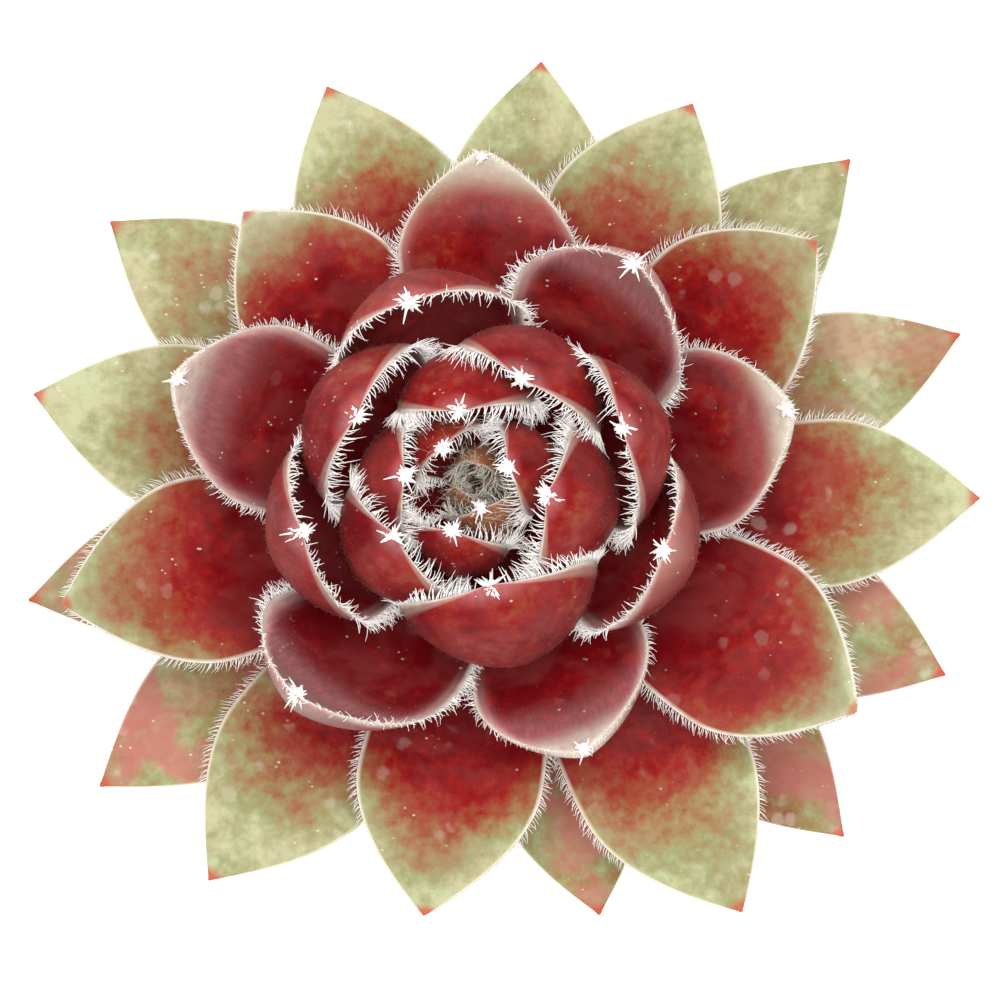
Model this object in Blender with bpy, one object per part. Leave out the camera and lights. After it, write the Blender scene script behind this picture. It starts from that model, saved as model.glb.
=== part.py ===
"""A small houseleek rosette growing in a plain terracotta pot, standing on its base at z = 0."""

import math

import bmesh
import bpy
from mathutils import Matrix, Vector

MM = 0.001

# The rosette grows unevenly, so the pot's axis stands a little off the middle of the whole plant, the origin.
POT_AXIS = (0.885, -0.685, 0.0)

# The pot, in millimetres: a plain flowerpot with a thicker band round its rim.
POT_HEIGHT = 49.0
POT_RIM_RADIUS = 27.5
POT_BAND_DEPTH = 12.0
POT_TOP_RADIUS = 25.2
POT_FOOT_RADIUS = 18.5
POT_WALL = 3.0
POT_FLOOR = 4.0
POT_DRAIN_RADIUS = 4.5
POT_SIDES = 48

# The soil, and the stem that stands in it.
SOIL_TOP = 43.5
SOIL_GAP = 0.3
STEM_FOOT = 34.0
STEM_SIDES = 16

# The rosette leans a little, more and more above this height.
LEAN_START = 54.0
LEAN_X = -0.105
LEAN_Y = 0.055

# Leaves change with age from the newest, at the middle, to the oldest, at the skirt.
# Age, slope at the base and at the tip in degrees, length, half width, thickness in mm.
GROWTH = (
    (0, 80, 100, 8.0, 1.6, 0.9),
    (2, 50, 125, 11.5, 3.2, 1.3),
    (4, 32, 135, 14.9, 4.8, 1.6),
    (6, 22, 143, 20.0, 6.2, 1.9),
    (8, 17, 143, 23.7, 7.4, 2.2),
    (10, 14, 137, 24.3, 8.6, 2.5),
    (12, 11, 130, 25.6, 9.0, 2.7),
    (14, 8, 122, 26.6, 9.0, 2.8),
    (16, 6, 110, 27.5, 9.2, 3.0),
    (18, 6, 90, 28.5, 9.0, 3.2),
    (20, 7, 72, 28.8, 8.2, 3.3),
    (23, 8, 51, 30.0, 8.4, 3.3),
    (27, 6, 36, 34.0, 8.2, 3.3),
    (32, 4, 22, 36.5, 7.8, 3.2),
    (37, 0, 11, 36.5, 6.6, 3.0),
    (43, -4, 4, 35.5, 6.2, 2.6),
)

# Where a leaf of each age leaves the stem: age, radius and height in mm.
ATTACHMENT = (
    (0.0, 0.6, 73.5),
    (4.3, 2.2, 72.6),
    (8.6, 3.6, 70.6),
    (17.2, 5.2, 66.0),
    (30.1, 6.4, 59.5),
    (43.0, 7.0, 53.4),
)

# How far a leaf's margins rise towards the middle of the rosette, as a share of its width.
CUPPING = (
    (0.0, 0.10),
    (5.2, 0.14),
    (10.8, 0.15),
    (15.1, 0.14),
    (19.4, 0.16),
    (23.7, 0.12),
    (30.1, 0.08),
    (43.0, 0.04),
)

# One row for each leaf, from the newest: its age, its direction in degrees,
# its length and its extra curl in degrees, its width, and its sideways sweep in degrees.
# Length and width are shares of what GROWTH gives for its age.
LEAVES = (
    (0.0, 140, 1.00, 0, 1.00, 0),
    (0.4, -10, 0.85, 0, 1.00, 0),
    (0.9, -125, 1.00, 0, 1.00, 0),
    (1.2, 78, 1.00, 0, 1.00, 0),
    (2.4, -68, 1.00, -4, 1.00, 0),
    (3.6, 130, 1.00, 0, 1.00, 0),
    (4.2, 15, 1.00, 2, 1.00, 0),
    (4.6, -104, 1.00, -4, 0.96, 0),
    (5.9, 179, 0.98, 0, 0.96, 0),
    (7.1, 94, 0.98, 4, 1.02, 0),
    (7.7, -14, 0.98, -4, 1.04, 0),
    (8.0, -139, 0.97, -4, 0.98, 0),
    (9.7, 59, 0.98, -4, 0.97, 0),
    (11.8, 151, 1.00, 6, 1.00, 0),
    (12.4, 17, 0.98, -9, 0.98, 0),
    (13.0, -77, 1.00, 18, 1.16, 0),
    (14.4, -161, 1.00, 4, 1.00, 0),
    (14.8, 108, 0.96, 0, 0.98, 0),
    (16.5, -20, 0.90, 2, 0.98, 5),
    (17.3, 53, 0.93, -14, 0.98, 0),
    (17.5, -128, 1.07, 0, 1.00, -12),
    (19.7, 161, 1.00, 0, 1.00, -5),
    (20.4, -68, 0.86, 0, 1.03, -3),
    (21.1, 13, 0.94, 0, 1.00, 4),
    (21.5, 89, 0.94, 0, 0.98, 0),
    (24.2, 131, 0.90, 0, 0.95, -5),
    (24.5, -31, 1.12, 0, 1.00, 0),
    (25.0, -164, 1.07, 0, 1.00, 0),
    (25.3, 36, 1.00, 0, 1.00, 4),
    (27.0, -98, 0.97, 0, 1.00, 0),
    (29.0, 62, 0.93, 0, 1.00, 0),
    (30.0, -59, 1.05, 0, 1.00, 0),
    (30.3, 112, 0.90, 0, 1.00, 0),
    (31.0, -1, 1.02, 0, 0.94, 4),
    (32.0, -126, 0.98, 0, 1.00, 0),
    (33.0, 168, 0.95, 0, 1.00, -3),
    (33.9, 84, 0.86, 0, 1.00, 0),
    (35.6, 126, 0.67, 0, 1.00, 0),
    (36.0, -22, 0.97, 0, 1.00, 0),
    (37.0, -144, 1.00, 0, 1.00, 0),
    (38.0, 44, 0.98, 0, 1.00, 0),
    (38.9, -77, 0.85, 0, 1.00, 0),
    (40.0, 145, 0.98, 0, 1.12, 0),
    (41.2, -45, 0.98, 0, 1.00, 0),
    (42.0, -168, 1.01, 0, 1.00, 0),
    (43.0, 20, 1.00, 0, 1.00, 0),
)

# How a leaf is cut into rings along its length, and how each ring crosses it.
STATIONS = (0.0, 0.10, 0.22, 0.36, 0.50, 0.64, 0.77, 0.89, 0.965)
ACROSS = (-1.0, -0.62, 0.0, 0.62, 1.0)
WIDEST = 0.64
BASE_WIDTH = 0.40
UPPER_SHARE = 0.28
LOWER_SHARE = 0.72
LEAST_RADIUS = 2.0
MOST_WRAP = 1.7
MIDRIB_STEPS = 200

LEAF_COLOURS = ((0, (0.30, 0.03, 0.04)), (22, (0.36, 0.05, 0.05)), (43, (0.33, 0.36, 0.14)))


def clear_scene():
    for obj in list(bpy.data.objects):
        bpy.data.objects.remove(obj)


def read(rows, age, column):
    """The value in one column of a table at an age, on the straight line between two rows."""
    if age <= rows[0][0]:
        return rows[0][column]
    for young, old in zip(rows, rows[1:]):
        if age <= old[0]:
            share = (age - young[0]) / (old[0] - young[0])
            return young[column] + share * (old[column] - young[column])
    return rows[-1][column]


def material(name, colour, roughness):
    made = bpy.data.materials.new(name)
    made.use_nodes = True
    shader = made.node_tree.nodes["Principled BSDF"]
    shader.inputs["Base Color"].default_value = (*colour, 1.0)
    shader.inputs["Roughness"].default_value = roughness
    shader.inputs["Metallic"].default_value = 0.0
    made.diffuse_color = (*colour, 1.0)
    return made


def lean(x, y, z):
    """A point of the upright rosette moved sideways by its height above LEAN_START."""
    over = max(z - LEAN_START, 0.0)
    return Vector((x + LEAN_X * over, y + LEAN_Y * over, z))


def midrib(age, length, curl):
    """Radius, height and slope at even steps along a leaf's middle line, whose slope grows evenly from base to tip."""
    start = math.radians(read(GROWTH, age, 1))
    end = math.radians(read(GROWTH, age, 2) + curl)
    radius = read(ATTACHMENT, age, 1)
    height = read(ATTACHMENT, age, 2)
    step = length / MIDRIB_STEPS
    line = [(radius, height, start)]
    for count in range(MIDRIB_STEPS):
        slope = start + (end - start) * (count + 0.5) / MIDRIB_STEPS
        radius += math.cos(slope) * step
        height += math.sin(slope) * step
        line.append((radius, height, start + (end - start) * (count + 1) / MIDRIB_STEPS))
    return line


def half_width(along, widest):
    """Half the leaf's width: a sine swell from the narrow base to WIDEST, then a cosine taper to the point."""
    if along < WIDEST:
        swell = math.sin(math.pi / 2 * along / WIDEST) ** 1.3
        return widest * (BASE_WIDTH + (1 - BASE_WIDTH) * swell)
    taper = math.cos(math.pi / 2 * (along - WIDEST) / (1 - WIDEST))
    return widest * max(taper, 0.0) ** 1.12


def thickness(along, thickest):
    """The leaf's thickness at its middle: fuller from the base on, thin again close to the tip."""
    return thickest * min(1.0, 0.55 + along) * max(1 - along**5, 0.0) ** 0.6


def leaf_point(row, line, along, across, side):
    """A point of a leaf in mm. side is 1 on the upper face, -1 on the lower face and 0 between them."""
    age, direction, _, _, width_share, sweep = row
    radius, height, slope = line[round(along * MIDRIB_STEPS)]
    width = half_width(along, read(GROWTH, age, 4) * width_share)
    thick = thickness(along, read(GROWTH, age, 5))
    offset = read(CUPPING, age, 1) * width * across**2
    if side > 0:
        offset += UPPER_SHARE * thick * (1 - across**2)
    if side < 0:
        offset -= LOWER_SHARE * thick * math.sqrt(max(1 - abs(across) ** 2.4, 0.0))
    wrap = width * across / max(radius, LEAST_RADIUS)
    wrap = max(-MOST_WRAP, min(MOST_WRAP, wrap))
    angle = math.radians(direction - sweep * (1 - along) ** 1.5) + wrap
    radius -= math.sin(slope) * offset
    height += math.cos(slope) * offset
    return lean(radius * math.cos(angle), radius * math.sin(angle), height)


def ring(mesh, points):
    """A closed loop of edges through the points."""
    corners = [mesh.verts.new(point) for point in points]
    following = corners[1:] + corners[:1]
    return [mesh.edges.new(pair) for pair in zip(corners, following)]


def object_from(mesh, name, made, location=(0, 0, 0), turn=0.0):
    """An object placed and turned about Z, holding a mesh whose points are given in mm from the pot's base."""
    place = Vector(location) * MM
    bmesh.ops.scale(mesh, vec=(MM, MM, MM), verts=mesh.verts)
    bmesh.ops.translate(mesh, vec=-place, verts=mesh.verts)
    bmesh.ops.rotate(mesh, cent=(0, 0, 0), matrix=Matrix.Rotation(-turn, 3, "Z"), verts=mesh.verts)
    bmesh.ops.recalc_face_normals(mesh, faces=mesh.faces)
    data = bpy.data.meshes.new(name)
    mesh.to_mesh(data)
    mesh.free()
    data.shade_smooth()
    data.set_sharp_from_angle(angle=math.radians(50))
    data.materials.append(made)
    obj = bpy.data.objects.new(name, data)
    obj.location = place + Vector(POT_AXIS) * MM
    obj.rotation_euler = (0, 0, turn)
    bpy.context.scene.collection.objects.link(obj)
    return obj


def leaf(name, row):
    """A fleshy pointed leaf: lens-shaped rings along its midrib, bridged, with a flat base and a point."""
    age, direction, length_share, curl, _, _ = row
    line = midrib(age, read(GROWTH, age, 3) * length_share, curl)
    mesh = bmesh.new()
    rings = []
    for along in STATIONS:
        upper = [leaf_point(row, line, along, across, 1) for across in ACROSS]
        lower = [leaf_point(row, line, along, across, -1) for across in ACROSS[-2:0:-1]]
        rings.append(ring(mesh, upper + lower))
    for inner, outer in zip(rings, rings[1:]):
        bmesh.ops.bridge_loops(mesh, edges=inner + outer)
    bmesh.ops.contextual_create(mesh, geom=rings[0])
    end = bmesh.ops.contextual_create(mesh, geom=rings[-1])["faces"]
    point = bmesh.ops.poke(mesh, faces=end)["verts"][0]
    point.co = leaf_point(row, line, 1.0, 0.0, 0)
    base = leaf_point(row, line, 0.0, 0.0, 0)
    green = [read([(key, *colour) for key, colour in LEAF_COLOURS], age, part) for part in (1, 2, 3)]
    return object_from(mesh, name, material(name, green, 0.5), base, math.radians(direction))


def turned(name, profile, made, sides, leaning=False):
    """A solid turned about Z from a profile of (radius, height) points in mm; ends on the axis close it."""
    mesh = bmesh.new()
    corners = [mesh.verts.new((radius, 0, height)) for radius, height in profile]
    edges = [mesh.edges.new(pair) for pair in zip(corners, corners[1:])]
    if profile[0][0] > 0:
        edges.append(mesh.edges.new((corners[-1], corners[0])))
    bmesh.ops.spin(
        mesh,
        geom=corners + edges,
        cent=(0, 0, 0),
        axis=(0, 0, 1),
        angle=math.tau,
        steps=sides,
    )
    bmesh.ops.remove_doubles(mesh, verts=mesh.verts, dist=0.001)
    if leaning:
        for corner in mesh.verts:
            corner.co = lean(*corner.co)
    return object_from(mesh, name, made)


def pot_wall_radius(height, inset):
    """The pot's outer radius below its band at a height, less an inset."""
    share = height / (POT_HEIGHT - POT_BAND_DEPTH)
    return POT_FOOT_RADIUS + (POT_TOP_RADIUS - 1.2 - POT_FOOT_RADIUS) * share - inset


def pot():
    """A flowerpot: a tapered wall and floor round a drain hole, and a straight band round the rim."""
    band = POT_HEIGHT - POT_BAND_DEPTH
    profile = (
        (POT_DRAIN_RADIUS, POT_FLOOR),
        (POT_DRAIN_RADIUS, 0.0),
        (POT_FOOT_RADIUS - 0.8, 0.0),
        (POT_FOOT_RADIUS, 0.8),
        (pot_wall_radius(band, 0.0), band),
        (POT_RIM_RADIUS - 1.6, band),
        (POT_RIM_RADIUS - 1.0, band + 0.6),
        (POT_RIM_RADIUS, POT_HEIGHT - 1.0),
        (POT_RIM_RADIUS - 1.0, POT_HEIGHT),
        (POT_RIM_RADIUS - POT_WALL, POT_HEIGHT),
        (POT_RIM_RADIUS - POT_WALL - 0.8, POT_HEIGHT - 0.8),
        (pot_wall_radius(POT_FLOOR, POT_WALL), POT_FLOOR),
    )
    return turned("pot", profile, material("terracotta", (0.55, 0.22, 0.11), 0.85), POT_SIDES)


def soil_radius(height):
    """The soil's outer radius at a height: the pot's inner wall less the gap."""
    low = pot_wall_radius(POT_FLOOR, POT_WALL)
    high = POT_RIM_RADIUS - POT_WALL - 0.8
    share = (height - POT_FLOOR) / (POT_HEIGHT - 0.8 - POT_FLOOR)
    return low + (high - low) * share - SOIL_GAP


def soil():
    """A plug of soil, slightly heaped, with a socket that the stem stands in."""
    bottom = POT_FLOOR + SOIL_GAP
    profile = (
        (0.0, bottom),
        (soil_radius(bottom), bottom),
        (soil_radius(SOIL_TOP), SOIL_TOP),
        (16.0, SOIL_TOP + 0.6),
        (9.0, SOIL_TOP + 1.5),
        (stem_radius(SOIL_TOP + 1.5) + SOIL_GAP, SOIL_TOP + 1.5),
        (stem_radius(STEM_FOOT) + SOIL_GAP, STEM_FOOT - SOIL_GAP),
        (0.0, STEM_FOOT - SOIL_GAP),
    )
    return turned("soil", profile, material("soil", (0.06, 0.04, 0.03), 0.95), POT_SIDES)


STEM = ((34.0, 3.2), (46.0, 5.6), (52.0, 6.1), (59.5, 5.4), (66.0, 4.1), (70.6, 2.6), (72.1, 1.4))


def stem_radius(height):
    return read(STEM, height, 1)


def stem():
    """The short stem: narrow in the soil, widest under the oldest leaves, domed under the newest."""
    profile = [(0.0, STEM_FOOT)]
    profile += [(radius, height) for height, radius in STEM]
    profile.append((0.0, STEM[-1][0] + 0.5))
    return turned("stem", profile, material("stem", (0.20, 0.17, 0.08), 0.8), STEM_SIDES, leaning=True)


def main():
    clear_scene()
    pot()
    soil()
    stem()
    for count, row in enumerate(LEAVES):
        leaf(f"leaf_{count:02d}", row)


main()
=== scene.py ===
import math

import bpy
import numpy as np
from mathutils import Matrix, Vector


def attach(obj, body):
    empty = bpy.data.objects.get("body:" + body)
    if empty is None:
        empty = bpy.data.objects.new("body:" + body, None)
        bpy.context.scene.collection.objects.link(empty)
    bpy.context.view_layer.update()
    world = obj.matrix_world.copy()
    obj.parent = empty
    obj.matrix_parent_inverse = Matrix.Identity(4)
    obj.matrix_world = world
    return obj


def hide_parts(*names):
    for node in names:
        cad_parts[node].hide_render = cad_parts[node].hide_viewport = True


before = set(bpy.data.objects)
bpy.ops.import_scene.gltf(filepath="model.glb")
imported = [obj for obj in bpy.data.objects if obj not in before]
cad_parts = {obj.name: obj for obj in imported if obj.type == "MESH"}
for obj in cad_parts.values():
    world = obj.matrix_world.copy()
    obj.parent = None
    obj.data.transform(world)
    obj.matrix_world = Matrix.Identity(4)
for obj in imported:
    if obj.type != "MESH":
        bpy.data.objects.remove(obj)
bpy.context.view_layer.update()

# A hairy-edged houseleek rosette in a small plain terracotta pot. Sizes are in mm, angles in degrees.
MM = 0.001
CHANCE = np.random.default_rng(7)

# Age of a leaf, slope at its base and tip in degrees, length, half width, thickness.
GROWTH = np.array(
    (
        (0, 80, 100, 8.0, 1.6, 0.9),
        (2, 50, 125, 11.5, 3.2, 1.3),
        (4, 32, 135, 14.9, 4.8, 1.6),
        (6, 22, 143, 20.0, 6.2, 1.9),
        (8, 17, 143, 23.7, 7.4, 2.2),
        (10, 14, 137, 24.3, 8.6, 2.5),
        (12, 11, 130, 25.6, 9.0, 2.7),
        (14, 8, 122, 26.6, 9.0, 2.8),
        (16, 6, 110, 27.5, 9.2, 3.0),
        (18, 6, 90, 28.5, 9.0, 3.2),
        (20, 7, 72, 28.8, 8.2, 3.3),
        (23, 8, 51, 30.0, 8.4, 3.3),
        (27, 6, 36, 34.0, 8.2, 3.3),
        (32, 4, 22, 36.5, 7.8, 3.2),
        (37, 0, 11, 36.5, 6.6, 3.0),
        (43, -4, 4, 35.5, 6.2, 2.6),
    )
)

# Where a leaf of each age leaves the stem: age, radius, height.
ATTACHMENT = np.array(
    (
        (0.0, 0.6, 73.5),
        (4.3, 2.2, 72.6),
        (8.6, 3.6, 70.6),
        (17.2, 5.2, 66.0),
        (30.1, 6.4, 59.5),
        (43.0, 7.0, 53.4),
    )
)

# How far the margins rise towards the middle of the rosette: age, share of the width.
CUPPING = np.array(
    (
        (0.0, 0.10),
        (5.2, 0.14),
        (10.8, 0.15),
        (15.1, 0.14),
        (19.4, 0.16),
        (23.7, 0.12),
        (30.1, 0.08),
        (43.0, 0.04),
    )
)

# Age, direction, length share, extra curl, width share, sideways sweep of each leaf.
LEAVES = (
    (0.0, 140, 1.00, 0, 1.00, 0),
    (0.4, -10, 0.85, 0, 1.00, 0),
    (0.9, -125, 1.00, 0, 1.00, 0),
    (1.2, 78, 1.00, 0, 1.00, 0),
    (2.4, -68, 1.00, -4, 1.00, 0),
    (3.6, 130, 1.00, 0, 1.00, 0),
    (4.2, 15, 1.00, 2, 1.00, 0),
    (4.6, -104, 1.00, -4, 0.96, 0),
    (5.9, 179, 0.98, 0, 0.96, 0),
    (7.1, 94, 0.98, 4, 1.02, 0),
    (7.7, -14, 0.98, -4, 1.04, 0),
    (8.0, -139, 0.97, -4, 0.98, 0),
    (9.7, 59, 0.98, -4, 0.97, 0),
    (11.8, 151, 1.00, 6, 1.00, 0),
    (12.4, 17, 0.98, -9, 0.98, 0),
    (13.0, -77, 1.00, 18, 1.16, 0),
    (14.4, -161, 1.00, 4, 1.00, 0),
    (14.8, 108, 0.96, 0, 0.98, 0),
    (16.5, -20, 0.90, 2, 0.98, 5),
    (17.3, 53, 0.93, -14, 0.98, 0),
    (17.5, -128, 1.07, 0, 1.00, -12),
    (19.7, 161, 1.00, 0, 1.00, -5),
    (20.4, -68, 0.86, 0, 1.03, -3),
    (21.1, 13, 0.94, 0, 1.00, 4),
    (21.5, 89, 0.94, 0, 0.98, 0),
    (24.2, 131, 0.90, 0, 0.95, -5),
    (24.5, -31, 1.12, 0, 1.00, 0),
    (25.0, -164, 1.07, 0, 1.00, 0),
    (25.3, 36, 1.00, 0, 1.00, 4),
    (27.0, -98, 0.97, 0, 1.00, 0),
    (29.0, 62, 0.93, 0, 1.00, 0),
    (30.0, -59, 1.05, 0, 1.00, 0),
    (30.3, 112, 0.90, 0, 1.00, 0),
    (31.0, -1, 1.02, 0, 0.94, 4),
    (32.0, -126, 0.98, 0, 1.00, 0),
    (33.0, 168, 0.95, 0, 1.00, -3),
    (33.9, 84, 0.86, 0, 1.00, 0),
    (35.6, 126, 0.67, 0, 1.00, 0),
    (36.0, -22, 0.97, 0, 1.00, 0),
    (37.0, -144, 1.00, 0, 1.00, 0),
    (38.0, 44, 0.98, 0, 1.00, 0),
    (38.9, -77, 0.85, 0, 1.00, 0),
    (40.0, 145, 0.98, 0, 1.12, 0),
    (41.2, -45, 0.98, 0, 1.00, 0),
    (42.0, -168, 1.01, 0, 1.00, 0),
    (43.0, 20, 1.00, 0, 1.00, 0),
)

# The four tiers of leaves, and the ages at which the second, third and fourth begin for the hairs.
TIERS = ("bud", "inner", "middle", "outer")
HAIR_TIER_AGES = (12.7, 24.3, 33.5)
YOUNGEST = 5

# The shape of every leaf: shares of its length, of its half width or of its thickness, and radii in mm.
WIDEST = 0.64
BASE_WIDTH = 0.40
POINT_RADIUS = 0.32
POINT_LENGTH = 0.012
KEEL_AGES = (0, 13, 18, 24)
KEEL_SHARES = (0.5, 0.9, 0.6, 0.0)
TAPER_AGES = (3, 13, 18, 24)
TAPER_POWERS = (0.80, 0.74, 0.88, 1.02)
FOOT_THICKNESS = 0.55
MOST_THICKNESS = 1.3
UPPER_SHARE = 0.28
LOWER_SHARE = 0.72
LONG_RIPPLE = 0.10
SHORT_RIPPLE = 0.06
LEAST_WRAP_RADIUS = 2.0
MOST_WRAP = 1.7

# How far the plant leans, in mm across and back for each mm above LEAN_START.
LEAN = np.array((-0.105, 0.055))
LEAN_START = 54.0

# The pot and the soil in it. The pot's axis stands a little off the middle of the whole plant.
POT_AXIS = np.array((0.885, -0.685))
POT_HEIGHT = 49.0
POT_RIM_RADIUS = 27.5
POT_BAND_DEPTH = 12.0
POT_NECK_RADIUS = 24.0
POT_FOOT_RADIUS = 18.5
POT_WALL = 3.0
POT_FLOOR = 4.0
POT_DRAIN_RADIUS = 4.5
SOIL_TOP = 43.5


def grown(table, age, column):
    """The value for an age on the straight line between a table's rows."""
    return float(np.interp(age, table[:, 0], table[:, column]))


def eased(low, high, value):
    """A smooth S from 0 at low to 1 at high, and level beyond them."""
    share = np.clip((value - low) / (high - low), 0.0, 1.0)
    return share * share * (3 - 2 * share)


def leaned(radius, height, angle):
    """Points at a radius, height and angle round the stem, moved sideways above LEAN_START."""
    over = np.maximum(height - LEAN_START, 0.0)
    across = radius * np.cos(angle) + LEAN[0] * over + POT_AXIS[0]
    back = radius * np.sin(angle) + LEAN[1] * over + POT_AXIS[1]
    return np.stack(np.broadcast_arrays(across, back, height), axis=-1)


def leaf_width(along, age, widest):
    """Half width: a sine swell to WIDEST, then a cosine taper, fuller in the bud, to a blunt round point."""
    fullness = np.interp(age, TAPER_AGES, TAPER_POWERS)
    swell = np.sin(np.pi / 2 * np.clip(along / WIDEST, 0, 1)) ** 1.3
    fall = np.clip((along - WIDEST) / (1 - WIDEST), 0, 1)
    taper = np.clip(np.cos(np.pi / 2 * fall), 0, 1) ** fullness
    body = np.where(along < WIDEST, BASE_WIDTH + (1 - BASE_WIDTH) * swell, taper)
    blunt = POINT_RADIUS * np.sqrt(np.clip((1 - along) / POINT_LENGTH, 0, 1))
    return np.maximum(widest * body, np.where(along > 0.9, blunt, 0.0))


def leaf_surface(leaf, along, across, side):
    """Points of a leaf in mm.

    along runs from 0 at the base to 1 at the tip, and across from -1 to 1 over the width.
    The midrib's slope turns evenly from base to tip, and its radius and height add up the slope's cosine and
    sine along it. The leaf wraps round the stem's axis by its width over its radius, and its foot is swept
    round by 1 less along to the power 1.5. The upper face bulges by 1 less the square of across. The lower
    bulges by the root of 1 less its power of 2.4, mixed in young leaves with a keel, 1 less its power of 1.3.
    The margins rise by the cupping times the square of across, and sines make a small ripple.
    side is 1 on the upper face and -1 on the lower.
    """
    age, direction, length_share, curl, width_share, sweep = leaf
    start = math.radians(grown(GROWTH, age, 1))
    turn = math.radians(grown(GROWTH, age, 2) + curl) - start
    reach = grown(GROWTH, age, 3) * length_share / turn
    slope = start + turn * along
    radius = grown(ATTACHMENT, age, 1) + reach * (np.sin(slope) - math.sin(start))
    height = grown(ATTACHMENT, age, 2) + reach * (math.cos(start) - np.cos(slope))
    width = leaf_width(along, age, grown(GROWTH, age, 4) * width_share)
    thick = grown(GROWTH, age, 5) * np.minimum(1, FOOT_THICKNESS + along)
    thick = thick * np.clip(1 - along**5, 0, 1) ** 0.6
    thick = np.minimum(thick, MOST_THICKNESS * width)
    upper = UPPER_SHARE * thick * (1 - across**2)
    keel = np.interp(age, KEEL_AGES, KEEL_SHARES)
    round_back = np.sqrt(np.clip(1 - np.abs(across) ** 2.4, 0, 1))
    keeled_back = 1 - np.abs(across) ** 1.3
    lower = LOWER_SHARE * thick * ((1 - keel) * round_back + keel * keeled_back)
    offset = np.where(side > 0, upper * side, lower * side)
    offset = offset + grown(CUPPING, age, 1) * width * across**2
    phase = age * 2.4
    ripple = LONG_RIPPLE * np.sin(9 * along + phase) * np.cos(3.1 * across + phase)
    ripple += SHORT_RIPPLE * np.sin(21 * along + 2 * phase + 4 * across)
    offset = offset + ripple * eased(0.1, 0.4, along) * (1 - along) ** 0.3
    wrap = np.clip(width * across / np.maximum(radius, LEAST_WRAP_RADIUS), -MOST_WRAP, MOST_WRAP)
    angle = math.radians(direction) - math.radians(sweep) * (1 - along) ** 1.5 + wrap
    return leaned(radius - np.sin(slope) * offset, height + np.cos(slope) * offset, angle)


def mesh_object(name, points, faces, finish, attributes=None, flat=None):
    """A smooth object at the origin from points in mm and faces, with float attributes and a UV map in mm."""
    data = bpy.data.meshes.new(name)
    data.from_pydata((points * MM).tolist(), [], faces)
    data.shade_smooth()
    for label, values in (attributes or {}).items():
        layer = data.attributes.new(label, "FLOAT", "POINT")
        layer.data.foreach_set("value", np.ascontiguousarray(values, np.float32))
    if flat is not None:
        corner = np.empty(len(data.loops), np.int32)
        data.loops.foreach_get("vertex_index", corner)
        layer = data.uv_layers.new(name="Flat")
        layer.data.foreach_set("uv", np.ascontiguousarray(flat[corner], np.float32).ravel())
    data.materials.append(finish)
    made = bpy.data.objects.new(name, data)
    bpy.context.scene.collection.objects.link(made)
    return made


def tube_faces(rings, corners):
    """Quads between rings of the same number of corners, numbered ring by ring."""
    ring, corner = np.meshgrid(np.arange(rings - 1), np.arange(corners), indexing="ij")
    following = (corner + 1) % corners
    a = ring * corners + corner
    b = ring * corners + following
    return np.stack((a, b, b + corners, a + corners), axis=-1).reshape(-1, 4)


def outward(points, quads):
    """Whether a surface's quads face out, by the sign of the volume between them and their middle."""
    points = points - points[quads].reshape(-1, 3).mean(axis=0)
    a, b, c, d = (points[quads[:, k]] for k in range(4))
    volume = np.einsum("ij,ij->i", a, np.cross(b, c)).sum()
    volume += np.einsum("ij,ij->i", a, np.cross(c, d)).sum()
    return volume > 0


def closed_loft(rings):
    """Points and faces of rings joined in order, closed at each end by a fan round the ring's middle."""
    count, corners = rings.shape[:2]
    points = rings.reshape(-1, 3)
    ends = np.stack((rings[0].mean(axis=0), rings[-1].mean(axis=0)))
    quads = tube_faces(count, corners)
    corner = np.arange(corners)
    following = (corner + 1) % corners
    last = (count - 1) * corners
    start = np.stack((following, corner, np.full(corners, count * corners)), axis=-1)
    end = np.stack((last + corner, last + following, np.full(corners, count * corners + 1)), axis=-1)
    if not outward(points, quads):
        quads = quads[:, ::-1]
        start = start[:, ::-1]
        end = end[:, ::-1]
    faces = quads.tolist() + start.tolist() + end.tolist()
    return np.concatenate((points, ends)), faces


# ---------------------------------------------------------------- materials


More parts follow.
